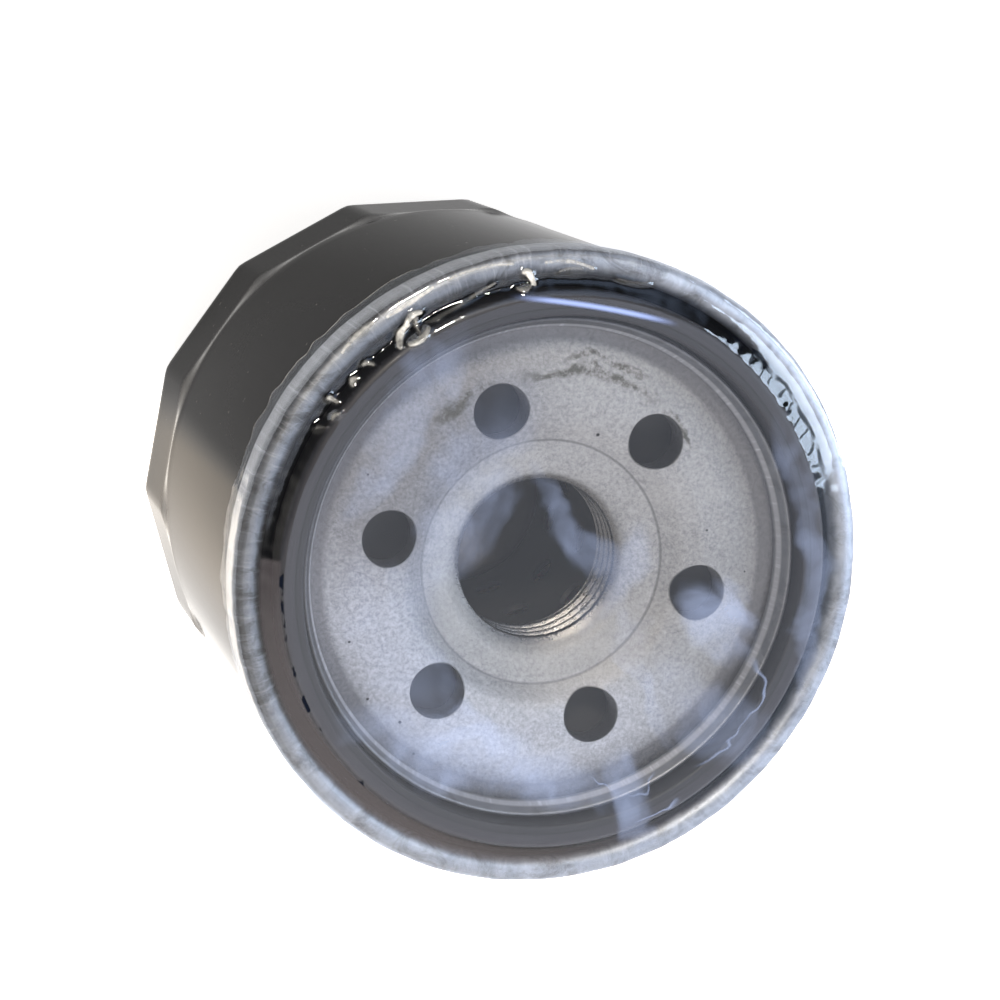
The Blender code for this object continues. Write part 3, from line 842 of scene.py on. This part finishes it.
def make_can():
    columns = FLUTES * 20
    rows = can_profile()
    angle = FLUTE_PHASE + TAU * np.arange(columns) / columns
    xyz = []
    for r, z, share in rows:
        radius = mix(np.full(columns, r), flute_radius(angle, r), share)
        radius = radius + 0.02 * ripple(angle, ((3, 1.0), (5, 0.6)), 11) * (z > FLUTE_TOP_Z)
        xyz.append(ring(radius, angle, np.full(columns, z)))
    verts = np.concatenate(xyz) * 0.001
    faces = grid_faces(len(rows), columns, False, True)
    faces.append(tuple((len(rows) - 1) * columns + i for i in range(columns)))
    obj = add_mesh("can", verts, faces)
    obj.data.flip_normals()
    solid = obj.modifiers.new("Wall", "SOLIDIFY")
    solid.thickness = mm(CAN_WALL)
    solid.offset = -1.0
    apply_modifiers(obj)
    smooth(obj.data, 50.0)
    return place_piece(obj, "filter", "can_shell", black_paint())


# Base end

def lid_warp(r, z, angle):
    """Small dents and waves that seaming leaves on the roll."""
    on_roll = smooth_step(31.3, 33.0, r)
    wave = ripple(angle, ((2, 0.04), (7, 0.025), (31, 0.02), (47, 0.015), (90, 0.008)), 3)
    return r + wave * on_roll, z + 0.5 * wave * on_roll


def make_lid():
    outer_r = SEAM_R - LID_WALL / 2.0
    middle = rounded([(26.8, 62.52), (25.72, 60.1, 0.55), (31.72, 60.1, 0.7), (31.72, 63.465, 1.16),
                      (outer_r, 63.465, 1.16), (outer_r, 59.0, 0.5), (33.5, 59.0)], step_deg=8.0)
    outline = sheet_outline(spaced(middle, 0.5), LID_WALL)
    obj = lathe("lid", outline, 360, warp=lid_warp, sharp_deg=60.0)
    return place_piece(obj, "filter", "seam_lid", galvanised())


def thread_wall(angle, z):
    """Radius of the 60-degree internal thread, fading out at both ends."""
    turn = (z - THREAD_END_Z) / THREAD_PITCH - angle / TAU
    saw = np.abs((turn % 1.0) - 0.5) * 2.0
    depth = np.clip((saw - 0.14) / 0.72, 0.0, 1.0)
    depth = depth * depth * (3.0 - 2.0 * depth) * 0.5 + depth * 0.5
    fade = np.clip(np.minimum((THREAD_TOP_Z - z) / 0.55, (z - THREAD_END_Z) / 0.55), 0.0, 1.0)
    return THREAD_CREST_R + (THREAD_ROOT_R - THREAD_CREST_R) * depth * fade


def plate_warp(r, z, angle):
    on_thread = (z < THREAD_TOP_Z + 0.001) & (z > THREAD_END_Z - 0.001) & (r < THREAD_CREST_R + 0.01)
    return np.where(on_thread, thread_wall(angle, z), r), z


def hole_cutter():
    """Six drills whose tops flare, so the cut leaves a pressed, eased edge."""
    steps = ((0.5, 61.2), (0.26, 60.46), (0.1, 60.28), (0.02, 60.12), (0.0, 59.9), (0.0, 57.5), (0.06, 56.0))
    shaft = [(HOLE_R + wider, z) for wider, z in steps]
    drills = []
    columns = 64
    for k in range(HOLES):
        centre = TAU * k / HOLES
        verts = []
        for r, z in shaft:
            for i in range(columns):
                a = TAU * i / columns
                x = HOLE_PCD_R + r * math.cos(a)
                y = r * math.sin(a)
                verts.append((mm(x * math.cos(centre) - y * math.sin(centre)),
                              mm(x * math.sin(centre) + y * math.cos(centre)), mm(z)))
        faces = grid_faces(len(shaft), columns, False, True)
        faces.append(tuple(range(columns)))
        faces.append(tuple((len(shaft) - 1) * columns + i for i in range(columns)))
        drills.append(add_mesh(f"drill_{k}", verts, faces))
    return joined("drills", drills)


def make_plate():
    """Base plate: slightly crowned ring, funnel and threaded neck."""
    corners = [(30.8, 57.3), (30.8, 59.5, 0.3), (24.6, 59.5, 2.0), (21.0, 60.28, 5.0),
               (HOLE_PCD_R, 60.42, 5.0), (15.4, 60.0, 3.0), (13.36, 58.62, 0.25), (12.6, 58.42, 2.0),
               (10.4, 57.75, 2.6),
               (THREAD_CREST_R, 56.5, 0.8), (THREAD_CREST_R, THREAD_TOP_Z)]
    top = spaced(rounded(corners, step_deg=7.0), 0.55)
    neck = [(THREAD_CREST_R, z) for z in np.linspace(THREAD_TOP_Z, THREAD_END_Z, 74)[1:]]
    under = rounded([(9.6, THREAD_END_Z), (11.2, THREAD_END_Z, 0.4), (11.2, 55.4, 1.0), (13.6, 56.5, 1.5),
                     (16.5, 57.0, 2.0), (30.5, 57.0)])
    obj = lathe("base_plate", top + neck + spaced(under, 1.2), 300, warp=plate_warp)
    cut(obj, hole_cutter())
    return place_piece(obj, "filter", "tapping_plate", plate_steel())


def make_gasket():
    corners = [(30.0, GASKET_TOP_Z, 0.9), (30.0, 60.65, 0.5), (27.4, 60.65, 0.5), (27.4, GASKET_TOP_Z, 0.3)]
    outline = rounded(corners, closed=True, step_deg=15.0)

    def warp(r, z, angle):
        out = ripple(angle, ((4, 0.03), (9, 0.02)), 5)
        up = ripple(angle, ((3, 0.01), (11, 0.008)), 6) - 0.02
        return r + out, z + up

    obj = lathe("gasket", spaced(outline, 0.5, True), 240, warp=warp, sharp_deg=60.0)
    return place_piece(obj, "filter", "base_gasket", gasket_rubber())


# Film

def wrinkle(x, y, size, seed):
    """Smooth, repeatable bumps, -1 to 1, about size millimetres across."""
    spot = Vector((x / size, y / size, seed))
    return noise.noise(spot)


CREASES = (
    # a curl in the slack film: start azimuth and radius, end azimuth and radius, bow, height, how bright its
    # painted highlight is
    (137.8, 30.2, 134.2, 31.4, 0.30, 0.40, 1.00), (134.4, 31.5, 131.0, 31.9, 0.35, 0.38, 0.90),
    (136.0, 29.9, 131.2, 30.2, -0.35, 0.36, 0.75), (133.2, 30.2, 132.2, 31.5, 0.15, 0.36, 0.50),
    (130.6, 30.6, 116.0, 31.7, -0.35, 0.22, 0.45), (110.2, 32.2, 108.6, 30.9, 0.50, 0.42, 1.00),
    (112.0, 30.7, 109.6, 30.7, -0.20, 0.34, 0.60), (154.2, 31.5, 153.6, 30.6, 0.30, 0.35, 0.60),
    (156.8, 30.1, 155.2, 29.9, 0.20, 0.32, 0.50), (149.4, 30.5, 147.8, 30.7, 0.20, 0.34, 0.65),
    (145.2, 31.1, 143.8, 30.5, 0.20, 0.34, 0.55), (160.0, 30.8, 159.0, 30.2, 0.20, 0.30, 0.40),
    (146.5, 33.5, 139.0, 33.7, 0.15, 0.08, 0.60), (136.5, 33.3, 127.0, 33.5, -0.15, 0.08, 0.65),
    (124.0, 33.6, 112.0, 33.2, 0.20, 0.08, 0.55), (106.0, 32.9, 97.0, 32.3, 0.30, 0.16, 0.55),
    (103.5, 31.9, 99.0, 32.2, 0.20, 0.20, 0.40), (92.0, 31.6, 86.0, 31.9, -0.20, 0.20, 0.35),
)
CREASE_WIDTH = 0.46
CREASE_MIDDLE_R = 31.0
CREASE_REACH = 7.0
CURL_NAME = "curl"
FILM_EDGE_R = 33.4
FILM_SIDE_R = 34.45
FILM_LIMIT_R = 35.05


def crease_highlight_and_height(x, y):
    """Painted highlight, 0 to 1 across each curl, and the height it adds in millimetres, at points of the
    film.
    """
    share = np.zeros_like(x)
    total = np.zeros_like(x)
    for az0, r0, az1, r1, bow, height, pale in CREASES:
        middle = math.radians((az0 + az1) / 2.0)
        away_x = x - CREASE_MIDDLE_R * math.cos(middle)
        away_y = y - CREASE_MIDDLE_R * math.sin(middle)
        near = (away_x ** 2 + away_y ** 2) < CREASE_REACH ** 2
        if not near.any():
            continue
        closest = np.full(int(near.sum()), 9.0)
        for t in np.linspace(0.0, 1.0, 28):
            a = math.radians(mix(az0, az1, t))
            r = mix(r0, r1, t) + bow * 4.0 * t * (1.0 - t)
            gap = np.hypot(x[near] - r * math.cos(a), y[near] - r * math.sin(a))
            closest = np.minimum(closest, gap * mix(1.0, 1.5, abs(2.0 * t - 1.0)))
        curve = np.exp(-(closest / CREASE_WIDTH) ** 2)
        total[near] = np.maximum(total[near], height * curve)
        share[near] = np.maximum(share[near], pale * curve)
    return share, total


def film_height(r, angle):
    """Height of the film over the base: taut on the gasket, sunk between gasket and seam."""
    z = np.full_like(r, FILM_REST_Z)
    upper_left = bump_at(angle, 134.0, 62.0) ** 0.5
    right = bump_at(angle, 48.0, 26.0)
    z = z - (FILM_REST_Z - 63.90) * smooth_step(29.3, 33.0, r)
    z = z - 0.85 * upper_left * np.exp(-((r - 30.9) / 0.9) ** 2)
    beads = ripple(angle, ((119, 0.5), (97, 0.45), (73, 0.4)), 21)
    z = z + 0.06 * right * beads * np.exp(-((r - 30.1) / 0.5) ** 2)
    x = r * np.cos(angle)
    y = r * np.sin(angle)
    bumps = np.array([wrinkle(a, b, 2.3, 3.0) + 0.6 * wrinkle(a, b, 1.1, 9.0) for a, b in zip(x, y)])
    broad = np.array([wrinkle(a, b, 6.5, 21.0) for a, b in zip(x, y)])
    slack = np.exp(-((r - 31.0) / 1.1) ** 2) * (0.04 + 0.13 * upper_left)
    over_rim = np.exp(-((r - 33.2) / 0.8) ** 2) * (0.02 + 0.05 * bump_at(angle, 85.0, 95.0))
    return z + crease_highlight_and_height(x, y)[1] + bumps * (slack + over_rim) + 0.035 * broad * smooth_step(29.0, 26.0, r)


def make_film():
    columns = 720
    angle = TAU * np.arange(columns) / columns
    rows = []
    flat_r = np.concatenate([np.linspace(0.25, 26.0, 34), np.linspace(26.5, FILM_EDGE_R, 56)])
    for r0 in flat_r:
        r = np.full(columns, r0)
        rows.append((r, film_height(r, angle)))
    crest_z = rows[-1][1]
    wave = ripple(angle, ((2, 0.03), (31, 0.03), (57, 0.03), (88, 0.02)), 4)
    for k in range(1, 11):
        a = math.pi / 2.0 * k / 10
        r = FILM_EDGE_R + (1.05 + wave) * math.sin(a)
        rows.append((r, crest_z - (1.4 + wave) * (1.0 - math.cos(a))))
    ragged = 0.45 * ripple(angle, ((5, 0.6), (13, 0.6), (29, 0.5), (61, 0.4), (97, 0.2)), 8)
    end_z = FILM_END_Z + ragged
    top_z = rows[-1][1]
    flare = bump_at(angle, 140.0, 50.0)
    fold = ripple(angle, ((23, 0.5), (41, 0.5), (67, 0.4), (103, 0.25)), 9)
    steps = 16
    for k in range(1, steps + 1):
        share = k / steps
        z = mix(top_z, end_z, share)
        tuck = -0.12 * smooth_step(0.55, 0.85, np.full(columns, share))
        r = FILM_SIDE_R + wave + tuck + fold * 0.09 * share + flare * 0.18 * share ** 2
        rows.append((np.minimum(r, FILM_LIMIT_R), z))
    verts = np.concatenate([ring(r, angle, z) for r, z in rows]) * 0.001
    faces = grid_faces(len(rows), columns, False, True)
    faces.append(tuple(range(columns - 1, -1, -1)))
    obj = add_mesh("film", verts, faces)
    places = np.array([v.co for v in obj.data.vertices]) * 1000.0
    # painted highlight on the curls
    share = crease_highlight_and_height(places[:, 0], places[:, 1])[0] * (places[:, 2] > 61.0)
    # painted highlight along the film's lower edge, on one side
    share[-columns:] = 0.7 * bump_at(angle, 145.0, 60.0)
    curl = obj.data.attributes.new(CURL_NAME, "FLOAT", "POINT")
    curl.data.foreach_set("value", share.astype(np.float32))
    return place_piece(obj, "film", "film_cap", clear_film())


# Stage

CAMERA_AZIMUTH = math.radians(154.61)
CAMERA_ELEVATION = math.radians(67.86)
CAMERA_DISTANCE = 274.7
CAMERA_AIM = (-6.87, 6.11, DATUM_Z)
CAMERA_ROLL = math.radians(125.54)
CAMERA_LENS = 93.08


def make_camera():
    data = bpy.data.cameras.new("camera")
    data.lens = CAMERA_LENS
    data.sensor_width = 36.0
    data.clip_start = 0.01
    data.clip_end = 50.0
    camera = new_object("camera", data)
    flat = CAMERA_DISTANCE * math.cos(CAMERA_ELEVATION)
    place = Vector((flat * math.cos(CAMERA_AZIMUTH), flat * math.sin(CAMERA_AZIMUTH),
                    DATUM_Z + CAMERA_DISTANCE * math.sin(CAMERA_ELEVATION))) * 0.001
    look = Vector(CAMERA_AIM) * 0.001 - place
    turn = look.to_track_quat("-Z", "Y").to_matrix() @ Matrix.Rotation(CAMERA_ROLL, 3, "Z")
    camera.matrix_world = Matrix.Translation(place) @ turn.to_4x4()
    bpy.context.scene.camera = camera


def make_floor():
    half = 1.5
    low = mm(-0.05)
    verts = [(-half, -half, low), (half, -half, low), (half, half, low), (-half, half, low)]
    floor = dress(add_mesh("floor", verts, [(0, 1, 2, 3)]), floor_white())


def direction_to(azimuth_deg, elevation_deg):
    a, e = math.radians(azimuth_deg), math.radians(elevation_deg)
    return math.cos(e) * math.cos(a), math.cos(e) * math.sin(a), math.sin(e)


def add_panel(name, azimuth_deg, elevation_deg, distance, size, power, colour):
    """A rectangular area light that faces the filter."""
    data = bpy.data.lights.new(name, "AREA")
    data.shape = "RECTANGLE"
    data.size, data.size_y = size
    data.energy = power
    data.color = colour
    light = new_object(name, data)
    away = Vector(direction_to(azimuth_deg, elevation_deg))
    light.location = Vector((0.0, 0.0, mm(LIGHT_AIM_Z))) + away * distance
    light.rotation_euler = (-away).to_track_quat("-Z", "Y").to_euler()
    return light


LIGHT_AIM_Z = 40.0
KEY = ("key_soft", 268.0, 44.0, 0.9, (0.40, 0.35), 12.0, (0.94, 0.95, 1.0))
MIRRORED = (
    # lights that only reflections show: name, azimuth, elevation, distance, size, power, colour
    ("window_cool", 22.0, 36.0, 0.8, (0.30, 0.50), 4.2, (0.78, 0.88, 1.0)),
    ("lamp_warm", 118.0, 50.0, 0.7, (0.12, 0.12), 5.0, (1.0, 0.90, 0.76)),
)


def make_lights():
    add_panel(*KEY).visible_glossy = False
    for light in MIRRORED:
        add_panel(*light).visible_diffuse = False


SKY_DARK = (0.07, 0.07, 0.075)
SKY_PATCHES = (
    # azimuth, elevation, inner and outer half angle, colour; the first is the one the film mirrors
    (334.6, 67.5, 13.0, 27.0, (0.74, 0.74, 0.80)),
    (270.0, 38.0, 20.0, 52.0, (0.85, 0.78, 0.70)),
    (345.0, 22.0, 15.0, 45.0, (0.70, 0.76, 0.90)),
    (205.0, 20.0, 10.0, 36.0, (0.40, 0.36, 0.30)),
    (80.0, 40.0, 8.0, 30.0, (0.50, 0.60, 0.80)),
)


def make_world():
    """Dim room: a soft overhead patch that the film mirrors, and a band of light round the horizon."""
    world = bpy.data.worlds.new("studio")
    bpy.context.scene.world = world
    world.use_nodes = True
    tree = world.node_tree
    back = tree.nodes["Background"]

    def node(kind, operation=None, **inputs):
        made = tree.nodes.new("ShaderNode" + kind)
        if operation:
            made.operation = operation
        for key, value in inputs.items():
            socket = made.inputs[int(key[1:])]
            if isinstance(value, bpy.types.NodeSocket):
                tree.links.new(value, socket)
            else:
                socket.default_value = value
        return made

    def facing(azimuth_deg, elevation_deg, inner_deg, outer_deg):
        axis = direction_to(azimuth_deg, elevation_deg)
        dot = node("VectorMath", "DOT_PRODUCT", i0=direction, i1=axis).outputs["Value"]
        outer, inner = cos_deg(outer_deg), cos_deg(inner_deg)
        made = node("MapRange", None, i0=dot, i1=outer, i2=inner)
        made.interpolation_type = "SMOOTHSTEP"
        return made.outputs[0]

    def lit(share, colour):
        made = node("VectorMath", "SCALE", i0=colour)
        tree.links.new(share, made.inputs["Scale"])
        return made.outputs[0]

    def plus(a, b):
        return node("VectorMath", "ADD", i0=a, i1=b).outputs[0]

    direction = tree.nodes.new("ShaderNodeTexCoord").outputs["Generated"]
    total = SKY_DARK
    for azimuth_deg, elevation_deg, inner_deg, outer_deg, colour in SKY_PATCHES:
        total = plus(lit(facing(azimuth_deg, elevation_deg, inner_deg, outer_deg), colour), total)
    tree.links.new(total, back.inputs["Color"])
    back.inputs["Strength"].default_value = 1.0
    bpy.context.scene.view_settings.view_transform = "Standard"


# Pieces inside the can

CAP_WALL = 0.6
TUBE_R = 11.2
TUBE_BOTTOM_Z = 11.8
TUBE_TOP_Z = 48.2
SPRING_R = 4.2
SPRING_WIRE_R = 0.45
SPRING_TURNS = 5.0
SPRING_BOTTOM_Z = 15.6
SPRING_TOP_Z = 23.4


def turned_sheet(name, corners, wall, columns=144):
    """A pressed sheet ring through corners (r, z, fillet), wall thick."""
    middle = spaced(rounded(corners, step_deg=15.0), 0.8)
    return lathe(name, sheet_outline(middle, wall), columns, sharp_deg=60.0)


def make_valve():
    """Rubber collar that stays on the neck, its lip sloping down."""
    corners = [(23.4, 56.66, 0.1), (24.0, 56.45, 0.15), (23.9, 56.15, 0.1), (13.6, 53.0, 0.5),
               (13.2, 52.4, 0.5), (13.2, 49.4, 0.3), (11.25, 49.4, 0.2), (11.25, 50.5), (11.5, 50.6),
               (11.5, 54.3, 0.2), (12.6, 54.3, 0.5)]
    outline = spaced(rounded(corners, closed=True, step_deg=20.0), 0.8, True)
    obj = lathe("valve", outline, 144, sharp_deg=50.0)
    dress(obj, valve_rubber())
    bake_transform(obj)
    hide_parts("drainback_valve")


def make_element_caps(tin):
    upper = [(10.6, 50.15), (10.6, 48.8, 0.6), (29.3, 48.8, 0.9), (29.3, 45.6)]
    lower = [(9.7, 11.2), (29.3, 11.2, 0.9), (29.3, 14.4)]
    for name, corners in (("cap_upper", upper), ("cap_lower", lower)):
        place_piece(turned_sheet(name, corners, CAP_WALL), "filter", f"element_{name}", tin)


def make_adhesive():
    """Cured rings, slightly uneven round the axis."""
    plastisol = soft_compound("plastisol", (0.42, 0.13, 0.07), (0.60, 0.24, 0.14), 0.45)

    def warp(r, z, angle):
        return r + 0.05 * ripple(angle, ((5, 1.0), (17, 0.6)), 31), z

    for name, node, low_z in (("bed_upper", "adhesive_upper", 47.4), ("bed_lower", "adhesive_lower", 11.8)):
        high_z = low_z + 0.8
        corners = [(28.5, high_z, 0.25), (28.5, low_z, 0.25), (12.0, low_z, 0.25), (12.0, high_z, 0.25)]
        outline = spaced(rounded(corners, closed=True, step_deg=30.0), 1.6, True)
        ring = lathe(name, outline, 120, warp=warp, sharp_deg=50.0)
        place_piece(ring, "filter", node, plastisol)


def rod(name, start, end, radius, sides=24):
    """A closed round bar between two points, in millimetres."""
    base, tip = Vector(start), Vector(end)
    turn = (tip - base).to_track_quat("Z", "Y")
    verts = []
    for middle in (base, tip):
        for i in range(sides):
            a = TAU * i / sides
            verts.append((middle + turn @ Vector((radius * math.cos(a), radius * math.sin(a), 0.0))) * 0.001)
    faces = grid_faces(2, sides, False, True)
    faces += [tuple(range(sides)), tuple(range(2 * sides - 1, sides - 1, -1))]
    return add_mesh(name, verts, faces)


def make_tube(tin):
    """Perforated centre tube: four staggered rows of punched holes."""
    obj = turned_sheet("tube", [(TUBE_R, TUBE_TOP_Z), (TUBE_R, TUBE_BOTTOM_Z)], CAP_WALL, 160)
    punches = []
    for row in range(4):
        z = mix(TUBE_BOTTOM_Z + 15.6, TUBE_TOP_Z - 4.0, row / 3)
        for k in range(6):
            a = TAU * (k + 0.5 * (row % 2)) / 6
            inner = (9.0 * math.cos(a), 9.0 * math.sin(a), z)
            outer = (13.0 * math.cos(a), 13.0 * math.sin(a), z)
            punches.append(rod(f"punch_{row}_{k}", inner, outer, 1.6))
    cut(obj, joined("punches", punches))
    place_piece(obj, "filter", "centre_tube", tin)


def make_bypass(tin):
    """Seat, seal, poppet and spring cage of the bypass valve."""
    seat = [(10.2, 12.1), (8.8, 12.1, 0.5), (8.8, 10.9, 0.5), (5.3, 10.9, 0.5), (5.2, 12.0)]
    place_piece(turned_sheet("seat", seat, CAP_WALL), "filter", "bypass_seat", tin)
    seal = [(7.2, 13.7, 0.15), (7.2, 12.7, 0.2), (3.0, 12.7, 0.2), (3.0, 13.7, 0.15)]
    ring = lathe("seal", spaced(rounded(seal, closed=True, step_deg=30.0), 0.8, True), 96, sharp_deg=50.0)
    place_piece(ring, "poppet", "bypass_seal", gasket_rubber())
    stem = [(0.02, 27.2), (1.4, 27.2, 0.5), (1.4, 14.9, 0.5), (7.5, 14.9, 0.4), (7.5, 14.0, 0.2),
            (0.02, 14.0)]
    poppet = lathe("poppet", rounded(stem, closed=True, step_deg=20.0), 96, sharp_deg=50.0)
    place_piece(poppet, "poppet", "bypass_poppet", tin)
    cage = turned_sheet("cage", [(2.1, 24.2), (10.1, 24.2, 0.8), (10.1, 12.75)], LID_WALL)
    windows = []
    for k in range(4):
        a = TAU * (k + 0.5) / 4
        out = Vector((math.cos(a), math.sin(a), 0.0))
        middle = Vector((0.0, 0.0, 18.2))
        windows.append(rod(f"window_{k}", out * 7.5 + middle, out * 12.5 + middle, 3.5, 40))
    cut(cage, joined("windows", windows))
    place_piece(cage, "filter", "bypass_cage", tin)


def make_spring(steel):
    """Round-wire coil of even pitch, its ends capped."""
    around = 14
    count = int(SPRING_TURNS * 48)
    low, high = SPRING_BOTTOM_Z, SPRING_TOP_Z
    verts = []
    for i in range(count + 1):
        a = TAU * i / 48
        out = Vector((math.cos(a), math.sin(a), 0.0))
        middle = out * SPRING_R + Vector((0.0, 0.0, mix(low, high, i / count)))
        for k in range(around):
            b = TAU * k / around
            up = Vector((0.0, 0.0, SPRING_WIRE_R * math.sin(b)))
            verts.append((middle + out * (SPRING_WIRE_R * math.cos(b)) + up) * 0.001)
    faces = grid_faces(count + 1, around, False, True)
    faces += [tuple(range(around)), tuple(range(len(verts) - 1, len(verts) - around - 1, -1))]
    obj = add_mesh("spring", verts, faces, sharp_deg=60.0)
    place_piece(obj, "filter", "bypass_spring", steel)
    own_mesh(obj)


def make_inside():
    tin = bright_sheet("tinplate", (0.24, 0.23, 0.21), 0.3)
    steel = bright_sheet("spring_steel", (0.28, 0.27, 0.26), 0.25)
    make_valve()
    make_element_caps(tin)
    make_adhesive()
    make_tube(tin)
    make_bypass(tin)
    make_spring(steel)
    sealant = soft_compound("sealant", (0.18, 0.26, 0.18), (0.30, 0.38, 0.28), 0.6)
    for node, material in (("seam_sealant", sealant), ("pleated_media", filter_paper()),
                           ("media_seam_clip", tin), ("support_spring", steel)):
        dress(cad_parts[node], material)


def main():
    make_camera()
    make_world()
    make_floor()
    make_lights()
    make_can()
    make_lid()
    make_plate()
    make_gasket()
    make_film()
    make_inside()


main()
